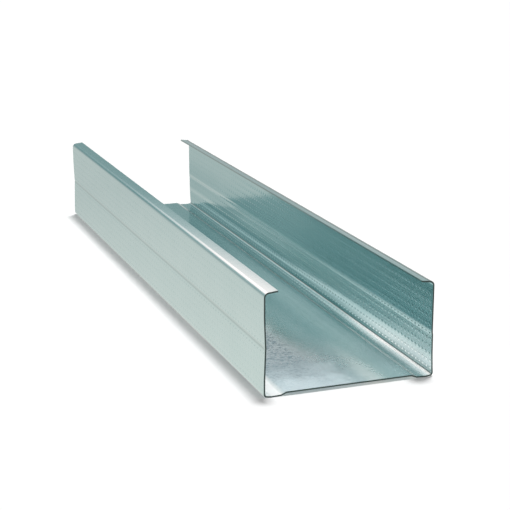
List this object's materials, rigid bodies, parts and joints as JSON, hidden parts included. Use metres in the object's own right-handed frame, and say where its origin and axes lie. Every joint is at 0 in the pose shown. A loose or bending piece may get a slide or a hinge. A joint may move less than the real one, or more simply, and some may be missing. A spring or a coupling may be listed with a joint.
{
  "type": "drywall metal stud",
  "caption": "Short length of roll-formed galvanised C-section stud with one taller flange, creased knurled flanges, returned lips and a raised web.",
  "frame": {"origin": "bottom centre of the piece: on the floor under the middle of its length and width", "axes": "+Y along the stud, +Z from the web's back up to the lips, +X from the tall flange to the short one"},
  "size_m": [0.0635, 0.28, 0.0375],
  "materials": {
    "stud": "hot-dip galvanised, satin, with fine spangle and knurled flanges"
  },
  "bodies": {
    "root": {"stud": "stud"}
  },
  "joints": []
}
